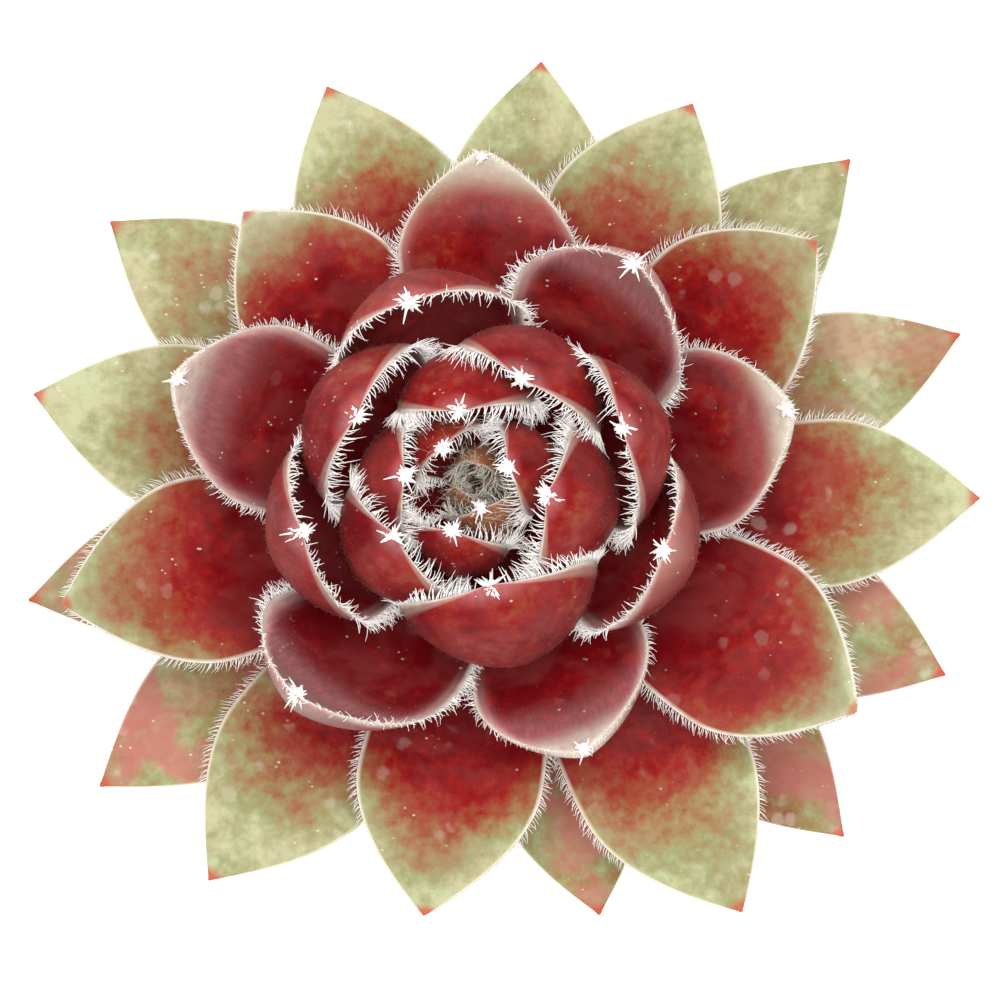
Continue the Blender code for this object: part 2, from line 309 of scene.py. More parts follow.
class Finish:
    """A node material under construction: each method adds a node and returns its output."""

    def __init__(self, name):
        self.material = bpy.data.materials.new(name)
        self.material.use_nodes = True
        self.nodes = self.material.node_tree.nodes
        self.links = self.material.node_tree.links
        self.shader = self.nodes["Principled BSDF"]

    def wire(self, socket, value):
        if isinstance(value, bpy.types.NodeSocket):
            self.links.new(value, socket)
        elif value is not None:
            socket.default_value = value

    def place(self):
        return self.nodes.new("ShaderNodeTexCoord").outputs["Object"]

    def flat(self):
        node = self.nodes.new("ShaderNodeUVMap")
        node.uv_map = "Flat"
        return node.outputs["UV"]

    def painted(self, name):
        node = self.nodes.new("ShaderNodeAttribute")
        node.attribute_name = name
        return node.outputs["Fac"]

    def stretched(self, vector, scale):
        node = self.nodes.new("ShaderNodeMapping")
        self.wire(node.inputs["Vector"], vector)
        node.inputs["Scale"].default_value = scale
        return node.outputs["Vector"]

    def noise(self, vector, scale, detail=3.0, rough=0.55, warp=0.0):
        node = self.nodes.new("ShaderNodeTexNoise")
        self.wire(node.inputs["Vector"], vector)
        node.inputs["Scale"].default_value = scale
        node.inputs["Detail"].default_value = detail
        node.inputs["Roughness"].default_value = rough
        node.inputs["Distortion"].default_value = warp
        return node.outputs["Fac"]

    def cells(self, vector, scale, kind="Distance"):
        node = self.nodes.new("ShaderNodeTexVoronoi")
        self.wire(node.inputs["Vector"], vector)
        node.inputs["Scale"].default_value = scale
        return node.outputs[kind]

    def sum(self, operation, first, second=None, third=None, clamp=False):
        node = self.nodes.new("ShaderNodeMath")
        node.operation = operation
        node.use_clamp = clamp
        for socket, value in zip(node.inputs, (first, second, third)):
            self.wire(socket, value)
        return node.outputs["Value"]

    def spread(self, value, low, high, out_low=0.0, out_high=1.0):
        node = self.nodes.new("ShaderNodeMapRange")
        node.interpolation_type = "SMOOTHSTEP"
        for socket, given in zip(node.inputs, (value, low, high, out_low, out_high)):
            self.wire(socket, given)
        return node.outputs["Result"]

    def ramp(self, value, stops):
        node = self.nodes.new("ShaderNodeValToRGB")
        self.wire(node.inputs["Fac"], value)
        elements = node.color_ramp.elements
        while len(elements) < len(stops):
            elements.new(0.5)
        for element, (position, colour) in zip(elements, stops):
            element.position = position
            element.color = (*colour, 1.0)
        return node.outputs["Color"]

    def mix(self, share, first, second, kind="MIX"):
        node = self.nodes.new("ShaderNodeMix")
        node.data_type = "RGBA"
        node.blend_type = kind
        node.clamp_factor = True
        self.wire(node.inputs[0], share)
        for socket, value in ((node.inputs[6], first), (node.inputs[7], second)):
            self.wire(socket, (*value, 1.0) if isinstance(value, tuple) else value)
        return node.outputs[2]

    def bump(self, height, strength, distance):
        node = self.nodes.new("ShaderNodeBump")
        node.inputs["Strength"].default_value = strength
        node.inputs["Distance"].default_value = distance
        self.wire(node.inputs["Height"], height)
        return node.outputs["Normal"]

    def finish(self, colour, roughness, normal=None, **constants):
        self.wire(self.shader.inputs["Base Color"], colour)
        self.wire(self.shader.inputs["Roughness"], roughness)
        self.wire(self.shader.inputs["Normal"], normal)
        for label, value in constants.items():
            self.shader.inputs[label.replace("_", " ")].default_value = value
        return self.material


# Leaf colours.
CRIMSON = (0.170, 0.002, 0.005)
RED = (0.30, 0.008, 0.008)
RUSSET = (0.32, 0.085, 0.036)
OLIVE = (0.34, 0.24, 0.10)
GREEN = (0.34, 0.355, 0.165)
PALE_GREEN = (0.54, 0.57, 0.33)
ROSE = (0.52, 0.17, 0.15)
CREAM = (0.95, 0.89, 0.76)
SCARLET = (0.55, 0.08, 0.045)
WAX = (0.80, 0.76, 0.66)
# A pink downy haze, also used as a painted highlight.
HAZE_AND_HIGHLIGHT = (0.90, 0.46, 0.47)
BLUSH_STOPS = ((0.0, PALE_GREEN), (0.24, GREEN), (0.38, OLIVE), (0.57, RUSSET), (0.80, RED), (1.0, CRIMSON))


def leaf_skin():
    """Leaf colour by the blush painted on each leaf, mottled, with a pale margin, wax spots and a pink haze.

    The haze is partly the downy hairs' own colour and partly painted highlight.
    """
    skin = Finish("leaf_skin")
    place = skin.place()
    flat = skin.flat()
    blush = skin.painted("blush")
    patch = skin.noise(place, 170.0, 4.0, 0.6, 0.6)
    grain = skin.noise(place, 900.0, 3.0, 0.6)
    streak = skin.noise(skin.stretched(flat, (2.6, 0.5, 1.0)), 1.0, 3.0, 0.6, 0.4)
    cloud = skin.noise(place, 85.0, 3.0, 0.55, 0.3)
    mottle = skin.sum("MULTIPLY_ADD", skin.sum("SUBTRACT", patch, 0.5), 0.62, blush)
    mottle = skin.sum("MULTIPLY_ADD", skin.sum("SUBTRACT", cloud, 0.5), 0.50, mottle)
    mottle = skin.sum("MULTIPLY_ADD", skin.sum("SUBTRACT", grain, 0.5), 0.55, mottle)
    mottle = skin.sum("MULTIPLY_ADD", skin.sum("SUBTRACT", streak, 0.5), 0.14, mottle, clamp=True)
    colour = skin.ramp(mottle, BLUSH_STOPS)
    blotch = skin.noise(skin.stretched(place, (1.0, 1.3, 1.0)), 150.0, 3.0, 0.6, 0.4)
    rosy = skin.sum("MULTIPLY", skin.painted("rosy"), skin.spread(blotch, 0.38, 0.60))
    colour = skin.mix(rosy, colour, ROSE)
    # Pink downy haze: partly the hairs' own colour, partly painted highlight on shaded faces.
    down_and_highlight = skin.sum("MULTIPLY", skin.painted("down_and_highlight"), skin.spread(streak, 0.30, 0.75, 0.60, 1.0))
    colour = skin.mix(down_and_highlight, colour, HAZE_AND_HIGHLIGHT)
    wobble = skin.noise(place, 1100.0, 2.0)
    spots = skin.sum("MULTIPLY_ADD", wobble, 0.40, skin.cells(place, 430.0))
    ring = skin.sum("MULTIPLY", skin.spread(spots, 0.38, 0.44), skin.spread(spots, 0.56, 0.46))
    disc = skin.spread(spots, 0.52, 0.36)
    wax = skin.sum("MULTIPLY_ADD", ring, 0.16, skin.sum("MULTIPLY", disc, 0.42))
    chosen = skin.spread(skin.noise(place, 190.0, 1.0), 0.54, 0.62)
    wax = skin.sum("MULTIPLY", skin.sum("MULTIPLY", wax, chosen), skin.painted("waxy"))
    colour = skin.mix(wax, colour, WAX)
    fleck = skin.spread(skin.cells(skin.stretched(place, (1.0, 1.4, 1.0)), 1150.0), 0.20, 0.12)
    fleck = skin.sum("MULTIPLY", fleck, skin.spread(skin.noise(place, 420.0, 1.0), 0.60, 0.70, 0.0, 0.65))
    colour = skin.mix(fleck, colour, WAX)
    edge = skin.sum("MULTIPLY", skin.painted("edge"), skin.spread(grain, 0.2, 0.7, 0.6, 1.0))
    colour = skin.mix(edge, colour, CREAM)
    colour = skin.mix(skin.painted("tip"), colour, SCARLET)
    rough = skin.spread(grain, 0.3, 0.7, 0.42, 0.60)
    relief = skin.sum("MULTIPLY_ADD", streak, 0.6, skin.sum("MULTIPLY", grain, 0.4))
    normal = skin.bump(relief, 0.5, 0.00012)
    return skin.finish(
        colour,
        rough,
        normal,
        Subsurface_Weight=0.08,
        Subsurface_Radius=(0.0010, 0.0004, 0.0003),
        Subsurface_Scale=1.0,
        Sheen_Weight=0.02,
        Sheen_Roughness=0.4,
        Specular_IOR_Level=0.10,
    )


def hair_white(name, colour, rough, glow):
    """Silvery hair: nearly white, a little darker in places along its length, with a painted glow:
    it emits its own colour at strength glow, standing in for light shining through it.
    """
    hair = Finish(name)
    vary = hair.noise(hair.place(), 700.0, 2.0)
    tone = hair.mix(hair.spread(vary, 0.3, 0.7), tuple(c * 0.86 for c in colour), colour)
    roughness = hair.spread(vary, 0.2, 0.8, rough - 0.08, rough + 0.08)
    return hair.finish(
        tone,
        roughness,
        Specular_IOR_Level=0.5,
        Emission_Color=(*colour, 1.0),
        Emission_Strength=glow,
    )


# Colours of the pot, the soil, the grit and the stem, from the darkest up.
CLAY_STOPS = ((0.25, (0.40, 0.14, 0.065)), (0.5, (0.56, 0.22, 0.11)), (0.8, (0.66, 0.31, 0.17)))
SOIL_STOPS = ((0.3, (0.018, 0.011, 0.007)), (0.55, (0.055, 0.034, 0.022)), (0.8, (0.13, 0.085, 0.055)))
GRIT_STOPS = ((0.3, (0.20, 0.16, 0.12)), (0.5, (0.42, 0.37, 0.30)), (0.7, (0.66, 0.62, 0.56)))
BARK_STOPS = ((0.3, (0.10, 0.055, 0.025)), (0.55, (0.24, 0.16, 0.07)), (0.8, (0.40, 0.33, 0.16)))


def terracotta():
    """Fired clay: orange brown, with firing clouds, lime bloom at foot and rim, pores and turning lines."""
    clay = Finish("terracotta")
    place = clay.place()
    cloud = clay.noise(place, 38.0, 4.0, 0.6, 0.5)
    pores = clay.noise(place, 1500.0, 2.0, 0.6)
    lines = clay.noise(clay.stretched(place, (20.0, 20.0, 900.0)), 1.0, 2.0, 0.5)
    colour = clay.ramp(cloud, CLAY_STOPS)
    colour = clay.mix(clay.spread(pores, 0.58, 0.72, 0.0, 0.45), colour, (0.30, 0.10, 0.05))
    parts = clay.nodes.new("ShaderNodeSeparateXYZ")
    clay.wire(parts.inputs[0], place)
    low = clay.spread(parts.outputs["Z"], 0.016, 0.0, 0.0, 0.75)
    high = clay.spread(parts.outputs["Z"], 0.043, 0.049, 0.0, 0.45)
    patches = clay.spread(clay.noise(place, 110.0, 5.0, 0.7, 0.25), 0.46, 0.66)
    bloom = clay.sum("MULTIPLY", clay.sum("ADD", low, high), patches)
    colour = clay.mix(bloom, colour, (0.80, 0.70, 0.60))
    relief = clay.sum("MULTIPLY_ADD", lines, 0.6, clay.sum("MULTIPLY", pores, 0.5))
    rough = clay.spread(cloud, 0.3, 0.7, 0.78, 0.92)
    return clay.finish(colour, rough, clay.bump(relief, 0.6, 0.0003), Specular_IOR_Level=0.25)


def potting_mix():
    """Dark soil crumbs with lighter fibres."""
    mix = Finish("potting_mix")
    place = mix.place()
    crumb = mix.noise(place, 600.0, 5.0, 0.7)
    colour = mix.ramp(crumb, SOIL_STOPS)
    rough = mix.spread(crumb, 0.3, 0.7, 0.8, 1.0)
    return mix.finish(colour, rough, mix.bump(crumb, 0.9, 0.0006), Specular_IOR_Level=0.2)


def grit():
    """Pale horticultural grit, each stone a little different."""
    stone = Finish("grit")
    place = stone.place()
    tone = stone.noise(place, 260.0, 2.0)
    colour = stone.ramp(tone, GRIT_STOPS)
    fine = stone.noise(place, 2500.0, 3.0)
    return stone.finish(colour, stone.spread(fine, 0.3, 0.7, 0.6, 0.85), stone.bump(fine, 0.5, 0.0001))


def stem_bark():
    """Fibrous stem: brown green with lengthwise fibres."""
    bark = Finish("stem_bark")
    place = bark.place()
    fibre = bark.noise(bark.stretched(place, (900.0, 900.0, 120.0)), 1.0, 4.0, 0.65)
    colour = bark.ramp(fibre, BARK_STOPS)
    return bark.finish(colour, bark.spread(fibre, 0.3, 0.7, 0.65, 0.9), bark.bump(fibre, 0.8, 0.0004))


LEAF_SKIN = leaf_skin()
# The last figure of each hair finish is its painted glow, an emission in place of light shining through the
# hairs.
FRINGE_HAIR = hair_white("fringe_hair", (0.98, 0.96, 0.93), 0.5, 0.26)
DOWN_HAIR = hair_white("down_hair", (0.62, 0.24, 0.23), 0.5, 0.05)
WOOL = hair_white("wool", (0.99, 0.98, 0.95), 0.6, 0.28)
EYE_HAIR = hair_white("eye_hair", (0.82, 0.79, 0.70), 0.6, 0.06)
TERRACOTTA = terracotta()
POTTING_MIX = potting_mix()
GRIT = grit()
STEM_BARK = stem_bark()


# ------------------------------------------------------------------ leaves


def unit(vectors):
    """Vectors scaled to length 1."""
    length = np.linalg.norm(vectors, axis=-1, keepdims=True)
    return vectors / np.maximum(length, 1e-9)


def leaf_frame(leaf, along, across, side):
    """Points of a leaf, with unit vectors to its tip, to its right margin and out of its face."""
    step = 0.004
    point = leaf_surface(leaf, along, across, side)
    ahead = leaf_surface(leaf, along + step, across, side)
    behind = leaf_surface(leaf, along - step, across, side)
    inside = np.clip(across, -0.985, 0.985)
    right = leaf_surface(leaf, along, inside + step, side)
    left = leaf_surface(leaf, along, inside - step, side)
    onward = unit(ahead - behind)
    sideways = right - left
    sideways = unit(sideways - onward * np.sum(onward * sideways, axis=-1, keepdims=True))
    normal = np.cross(onward, sideways)
    return point, onward, sideways, np.where(np.asarray(side)[..., None] > 0, normal, -normal)


def blush_of(leaf, along, across, side):
    """How red a leaf is at each point, from 0, green, to 1, dark crimson.

    Bud leaves are red all over, darkest at the foot: partly their own crimson, partly painted shade where the
    leaves overlap. Older leaves pale from the tip and the margins inwards, and the oldest are green with a
    red tinge that only some of them keep.
    """
    age, direction = leaf[0], leaf[1]
    sunny = float(eased(0.7, 0.0, math.sin(math.radians(direction))))
    reach = np.interp(age, (0, 15, 18, 22, 26, 31, 35, 43), (1.50, 1.34, 1.14, 0.92, 0.78, 0.70, 0.60, 0.46))
    softness = np.interp(age, (0, 18, 26, 43), (0.26, 0.22, 0.29, 0.30))
    foot = 1 - eased(reach - softness, reach + softness, along + 0.13 * across**2)
    strength_ages = (0, 2.5, 4, 14, 20, 30, 36, 43)
    strength = np.interp(age, strength_ages, (0.30, 0.60, 0.86, 0.88, 0.92, 0.88, 0.58, 0.42))
    # Darker towards the foot of the younger leaves: partly their own deeper crimson, partly painted shade
    # where the leaves overlap.
    dark_foot_and_shade = np.interp(age, (0, 4, 18, 30, 43), (0.0, 0.30, 0.30, 0.12, 0.0)) * (1 - eased(0.1, 0.72, along))
    tinge = np.interp(age, (0, 33, 36, 43), (0, 0.06, 0.22, 0.26)) * (0.7 + 0.5 * sunny)
    under = np.where(side > 0, 0.0, np.interp(age, (0, 20, 30, 43), (0.0, -0.05, -0.25, -0.30)))
    return np.clip(foot * strength + dark_foot_and_shade + tinge + under, 0, 1.1)


def leaf_paint(leaf, along, across, side):
    """The painted amounts that the skin's pattern reads: blush, rosy, a downy haze, waxy, edge and tip.

    The downy haze is partly painted highlight.
    """
    age = leaf[0]
    rim = np.abs(across)
    sunny = float(eased(0.7, 0.0, math.sin(math.radians(leaf[1]))))
    blush = blush_of(leaf, along, across, side)
    older = float(eased(24.0, 36.0, age))
    youth = 1 - float(eased(15.0, 24.0, age))
    # The downy haze is partly the hairs' own pink and partly painted highlight. It brightens a band near the
    # tip of the collar leaves' shaded upper faces, their margins and the young leaves' tips.
    haze_and_highlight_band = np.exp(-(((along - 0.80) / 0.09) ** 2))
    collar = float(np.exp(-(((age - 18.0) / 3.2) ** 2)))
    down_and_highlight = 0.44 * haze_and_highlight_band * collar * np.where(side > 0, 1.0, 0.12) + 0.02 * haze_and_highlight_band * (1 - older)
    rim_haze_and_highlight = collar * 0.75 * eased(0.76, 0.97, rim) * eased(0.40, 0.75, along)
    down_and_highlight = down_and_highlight + youth * 0.34 * eased(0.92, 1.0, along) + rim_haze_and_highlight * np.where(side > 0, 1.0, 0.4)
    edge_band = 0.42 * youth * eased(0.88, 0.93, rim) * (1 - eased(0.94, 0.96, rim)) * eased(0.3, 0.6, along)
    collar_edge = 0.55 * collar * eased(0.86, 0.97, rim) * eased(0.45, 0.75, along)
    margin = eased(0.962, 0.985, rim) * (0.95 - 0.35 * older)
    tip_length = np.interp(age, (0, 20, 30, 43), (0.015, 0.018, 0.022, 0.024))
    tip = eased(1 - tip_length * 1.6, 1 - tip_length * 0.6, along) * np.interp(age, (19, 26), (0.0, 0.80))
    cap = 0.85 * float(np.exp(-(((age - 20.5) / 3.0) ** 2))) * eased(0.80, 0.96, along)
    return {
        "blush": blush,
        "rosy": 0.12 + 0.70 * sunny * float(eased(34.0, 36.0, age)) * np.ones_like(blush),
        "down_and_highlight": down_and_highlight,
        "waxy": np.interp(age, (0, 22, 28, 43), (0.05, 0.08, 0.42, 0.75)) * np.ones_like(blush),
        "edge": np.maximum.reduce((edge_band, collar_edge, margin, cap)),
        "tip": tip,
    }


LEAF_STATIONS = 72
LEAF_ACROSS = 30


def leaf_piece(name, leaf):
    """A fleshy leaf: closed rings round its upper and lower faces, closer together towards the blunt tip."""
    even = np.linspace(0, 1, LEAF_STATIONS)
    along = 1 - (1 - even) ** 1.35
    along[-1] = 0.9995
    half = np.sin(np.linspace(-np.pi / 2, np.pi / 2, LEAF_ACROSS))
    across = np.concatenate((half, half[-2:0:-1]))
    side = np.concatenate((np.ones(LEAF_ACROSS), -np.ones(LEAF_ACROSS - 2)))
    along_grid, across_grid = np.meshgrid(along, across, indexing="ij")
    side_grid = np.broadcast_to(side, along_grid.shape)
    rings = leaf_surface(leaf, along_grid, across_grid, side_grid)
    points, faces = closed_loft(rings)
    ends = np.array((along[0], along[-1]))
    grid = np.concatenate((along_grid.ravel(), ends))
    cross = np.concatenate((across_grid.ravel(), np.zeros(2)))
    face = np.concatenate((side_grid.ravel(), np.ones(2)))
    paint = leaf_paint(leaf, grid, cross, face)
    length = grown(GROWTH, leaf[0], 3) * leaf[2]
    width = leaf_width(grid, leaf[0], grown(GROWTH, leaf[0], 4) * leaf[4])
    flat = np.stack((cross * width + face * 40 + leaf[1], grid * length), axis=-1)
    return mesh_object(name, points, faces, LEAF_SKIN, paint, flat)


# ------------------------------------------------------------------- hairs

HAIR_CORNERS = 3
DOWN_RADIUS = 0.008
EYE_LEAVES = 6
EYE_HAIRS_EACH = 75
EYE_HAIR_RADIUS = 0.021
TUFT_AGES = (2, 22.5)
GOLDEN_TURN = 2.39996


def hair_tubes(starts, directions, bends, lengths, radii, rings):
    """Tapered three-sided hairs as points and quads, all of them at once.

    A hair's middle line is start + length * (share * direction + share squared * bend). Its radius falls from
    the given one at the root, by 0.8 of the share to the power 1.5, to a fifth at the flat closed tip.
    """
    count = len(starts)
    share = np.linspace(0, 1, rings)
    line = starts[:, None, :] + lengths[:, None, None] * (
        share[None, :, None] * directions[:, None, :] + share[None, :, None] ** 2 * bends[:, None, :]
    )
    heading = unit(directions[:, None, :] + 2 * share[None, :, None] * bends[:, None, :])
    helper = np.where(np.abs(heading[..., 2:]) < 0.9, np.array((0.0, 0.0, 1.0)), np.array((1.0, 0.0, 0.0)))
    first = unit(np.cross(heading, helper))
    second = np.cross(heading, first)
    radius = radii[:, None] * (0.2 + 0.8 * (1 - share[None, :] ** 1.5))
    turn = np.arange(HAIR_CORNERS) * (2 * np.pi / HAIR_CORNERS)
    offsets = first[:, :, None, :] * np.cos(turn)[:, None] + second[:, :, None, :] * np.sin(turn)[:, None]
    points = line[:, :, None, :] + radius[:, :, None, None] * offsets
    quads = tube_faces(rings, HAIR_CORNERS)
    each = np.arange(count) * rings * HAIR_CORNERS
    sides = (quads[None] + each[:, None, None]).reshape(-1, 4)
    corner = np.arange(HAIR_CORNERS)
    last = (rings - 1) * HAIR_CORNERS + corner
    ends = np.concatenate((each[:, None] + corner[::-1], each[:, None] + last))
    return points.reshape(-1, 3), sides, ends


def hair_piece(name, bunches, finish):
    """One piece holding several bunches of hairs, each made by hair_tubes."""
    points = []
    faces = []
    first = 0
    for bunch_points, sides, ends in bunches:
        points.append(bunch_points)
        faces += (sides + first).tolist() + (ends + first).tolist()
        first += len(bunch_points)
    made = mesh_object(name, np.concatenate(points), faces, finish)
    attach(made, "root")
    return made


def scatter(count, spread=1.0):
    """Random vectors of a normal spread."""
    return CHANCE.normal(0.0, spread, (count, 3))


def fringe(leaf):
    """The lashes along both margins of a leaf: roots nearly even, leaning outwards and to the tip."""
    age = leaf[0]
    length = grown(GROWTH, age, 3) * leaf[2]
    spacing = np.interp(age, (0, 12, 17, 20, 30, 43), (0.17, 0.125, 0.12, 0.16, 0.18, 0.21))
    lash = np.interp(age, (0, 4, 12, 16, 19, 24, 30, 43), (1.2, 1.75, 1.85, 1.7, 1.0, 0.95, 0.85, 0.75))
    stoutness = np.interp(age, (0, 4, 16, 20, 26, 43), (0.050, 0.064, 0.074, 0.050, 0.042, 0.036))
    count = int(0.86 * length / spacing)
    bunches = []
    for margin in (-1.0, 1.0):
        along = np.linspace(0.12, 0.985, count) + CHANCE.normal(0, 0.25 / count, count)
        along = np.clip(along, 0.1, 0.988)
        across = np.full(count, margin)
        point, onward, sideways, _ = leaf_frame(leaf, along, across, np.ones(count))
        out = unit(sideways * margin + onward * CHANCE.normal(0.50, 0.20, (count, 1)))
        up = np.cross(onward, sideways)
        out = unit(out + up * CHANCE.normal(0.12, 0.20, (count, 1)))
        bend = onward * CHANCE.normal(0.28, 0.22, (count, 1)) + up * CHANCE.normal(0.12, 0.16, (count, 1))
        bend = bend + scatter(count, 0.10)
        fade = 0.45 + 0.55 * eased(0.12, 0.45, along) - 0.30 * eased(0.80, 1.0, along)
        lengths = lash * fade * CHANCE.uniform(0.72, 1.18, count)
        radii = stoutness * CHANCE.uniform(0.8, 1.2, count)
        bunches.append(hair_tubes(point, out, bend, lengths, radii, 5))
    return bunches


def down_on(leaf):
    """Short downy hairs over the upper face of a leaf and, on the younger leaves, over the back too."""
    age = leaf[0]
    length = grown(GROWTH, age, 3) * leaf[2]
    width = grown(GROWTH, age, 4) * leaf[4]
    density = np.interp(age, (0, 17, 24, 43), (2.6, 2.4, 0.9, 0.6))
    bunches = []
    faces = (1.0, -1.0) if age < 22 else (1.0,)
    for face in faces:
        count = int(density * length * width)
        along = CHANCE.uniform(0.30 if age > 24 or face < 0 else 0.62, 0.99, count)
        across = CHANCE.uniform(-0.97, 0.97, count)
        point, onward, _, normal = leaf_frame(leaf, along, across, np.full(count, face))
        direction = unit(normal + onward * CHANCE.normal(0.5, 0.4, (count, 1)) + scatter(count, 0.25))
        lengths = CHANCE.uniform(0.14, 0.32, count) * np.interp(age, (0, 20, 43), (1.2, 1.0, 0.8))
        radii = np.full(count, DOWN_RADIUS)
        bunches.append(hair_tubes(point, direction, scatter(count, 0.2), lengths, radii, 3))
    return bunches


def tuft(leaf, count, reach, radius):
    """A star of stout hairs at the point of a leaf, evenly spread from ahead of it to a little behind it."""
    point, onward, _, _ = leaf_frame(leaf, np.array([0.985]), np.array([0.0]), np.array([1.0]))
    turn = np.arange(count) * GOLDEN_TURN + CHANCE.uniform(0, 6.28)
    rise = np.linspace(0.95, -0.35, count)
    flat_share = np.sqrt(1 - rise**2)
    first = unit(np.cross(onward, np.array((0.0, 0.0, 1.0))) + 1e-6)
    second = np.cross(onward, first)
    direction = rise[:, None] * onward + flat_share[:, None] * (
        np.cos(turn)[:, None] * first + np.sin(turn)[:, None] * second
    )
    direction = unit(direction + scatter(count, 0.12))
    start = np.repeat(point, count, axis=0) - 0.1 * direction
    lengths = reach * CHANCE.uniform(0.65, 1.15, count)
    return hair_tubes(start, direction, scatter(count, 0.22), lengths, np.full(count, radius), 4)


def eye_hairs():
    """The tangle over the newest leaves: long hairs that rise from the outer half of their backs and curl."""
    bunches = []
    count = EYE_HAIRS_EACH
    for leaf in LEAVES[:EYE_LEAVES]:
        along = CHANCE.uniform(0.45, 1.0, count)
        across = CHANCE.uniform(-1.0, 1.0, count)
        point, onward, _, normal = leaf_frame(leaf, along, across, np.full(count, -1.0))
        direction = unit(onward * 0.7 + normal * 0.5 + scatter(count, 0.5))
        lengths = CHANCE.uniform(0.7, 1.7, count)
        radii = np.full(count, EYE_HAIR_RADIUS)
        bunches.append(hair_tubes(point, direction, scatter(count, 0.5), lengths, radii, 6))
    return bunches


# ------------------------------------------------------- pot, soil and stem


def turned_points(profile, sides):
    """Rings of points: each (radius, height) of the profile carried round a circle about the upright axis."""
    turn = np.linspace(0, 2 * np.pi, sides, endpoint=False)
    radius = np.array([spot[0] for spot in profile])[:, None]
    height = np.array([spot[1] for spot in profile])[:, None]
    return np.stack(np.broadcast_arrays(radius * np.cos(turn), radius * np.sin(turn), height), axis=-1)


def rounded(corners, steps=6):
    """A closed profile of (radius, height, reach) corners, each rounded by a curve.

    It starts and ends reach away from the corner, or at 0.45 of the side if that is nearer.
    """
    path = []
    for place, (radius, height, reach) in enumerate(corners):
        here = np.array((radius, height))
        before = np.array(corners[place - 1][:2])
        after = np.array(corners[(place + 1) % len(corners)][:2])
        if reach == 0:
            path.append(here)
            continue
        start = here + (before - here) * min(0.45, reach / np.linalg.norm(before - here))
        end = here + (after - here) * min(0.45, reach / np.linalg.norm(after - here))
        share = np.linspace(0, 1, steps)[:, None]
        path.extend((1 - share) ** 2 * start + 2 * share * (1 - share) * here + share**2 * end)
    return [tuple(spot) for spot in path]


def pot_wall_radius(height, inset):
    """The pot's outer radius below its band, less an inset."""
    widening = (POT_NECK_RADIUS - POT_FOOT_RADIUS) * height / (POT_HEIGHT - POT_BAND_DEPTH)
    return POT_FOOT_RADIUS + widening - inset


POT_SIDES = 224


def pot_piece():
    """The flowerpot: a closed profile of foot, wall, band, lip, inner wall and drain hole, turned.

    Its radius wavers by a few hundredths of a millimetre with height and angle, as a thrown wall's does.
    """
    band = POT_HEIGHT - POT_BAND_DEPTH
    corners = (
        (POT_DRAIN_RADIUS, POT_FLOOR, 0.5),
        (POT_DRAIN_RADIUS, 0.0, 0.5),
        (POT_FOOT_RADIUS, 0.0, 1.2),
        (pot_wall_radius(band, 0.0), band, 0.5),
        (POT_RIM_RADIUS - 1.2, band, 0.9),
        (POT_RIM_RADIUS, POT_HEIGHT, 1.5),
        (POT_RIM_RADIUS - POT_WALL - 0.2, POT_HEIGHT, 1.3),
        (pot_wall_radius(POT_FLOOR, POT_WALL), POT_FLOOR, 2.0),
    )
    path = np.array(rounded(corners))
    gaps = np.linalg.norm(np.diff(np.vstack((path, path[:1])), axis=0), axis=1)
    travelled = np.concatenate(((0.0,), np.cumsum(gaps)))
    even = np.unique(np.concatenate((travelled[:-1], np.linspace(0, travelled[-1], 150, endpoint=False))))
    closed = np.vstack((path, path[:1]))
    profile = np.stack([np.interp(even, travelled, closed[:, part]) for part in (0, 1)], axis=-1)
    rings = turned_points(profile, POT_SIDES)
    turn = np.linspace(0, 2 * np.pi, POT_SIDES, endpoint=False)
    height = rings[..., 2]
    waver = 0.05 * np.sin(height * 2.4) + 0.04 * np.sin(3 * turn + height * 0.15)
    waver += 0.03 * np.sin(7 * turn - height * 0.4)
    waver = waver * eased(0.2, 1.5, height)
    rings[..., :2] *= 1 + (waver / np.hypot(rings[..., 0], rings[..., 1]))[..., None]
    rings[..., :2] += POT_AXIS
    count = len(rings)
    points = rings.reshape(-1, 3)
    quads = tube_faces(count + 1, POT_SIDES) % (count * POT_SIDES)
    if not outward(points, quads):
        quads = quads[:, ::-1]
    return mesh_object("pot_body", points, quads.tolist(), TERRACOTTA)


def soil_height(across, back):
    """The soil's top: heaped towards the stem and lumpy, by sines of several lengths and directions."""
    radius = np.hypot(across, back)
    lumps = 0.22 * np.sin(across * 1.3 + 1.0) * np.cos(back * 1.1)
    lumps += 0.14 * np.sin(across * 2.9 - back * 1.7) + 0.10 * np.cos(back * 3.7 + across * 2.1)
    return SOIL_TOP - 0.35 + 1.5 * (1 - eased(6, 22, radius)) + lumps


def soil_piece():
    """The plug of soil: a turned solid whose top follows soil_height."""
    bottom = POT_FLOOR + 0.3
    low = pot_wall_radius(bottom, POT_WALL) - 0.4
    high = POT_RIM_RADIUS - POT_WALL - 1.1
    sides = [(low * share, bottom) for share in np.linspace(0.05, 1, 8)]
    for share in np.linspace(0.1, 1, 10):
        sides.append((low + (high - low) * share, bottom + (SOIL_TOP - bottom) * share))
    top = [(high * share, SOIL_TOP) for share in np.linspace(0.985, 0.02, 60)]
    rings = turned_points(sides + top, 128)
    covered = np.arange(len(rings)) >= len(sides) - 1
    rings[covered, :, 2] = soil_height(rings[covered, :, 0], rings[covered, :, 1])
    rings[..., :2] += POT_AXIS
    points, faces = closed_loft(rings)
    return mesh_object("soil_plug", points, faces, POTTING_MIX)


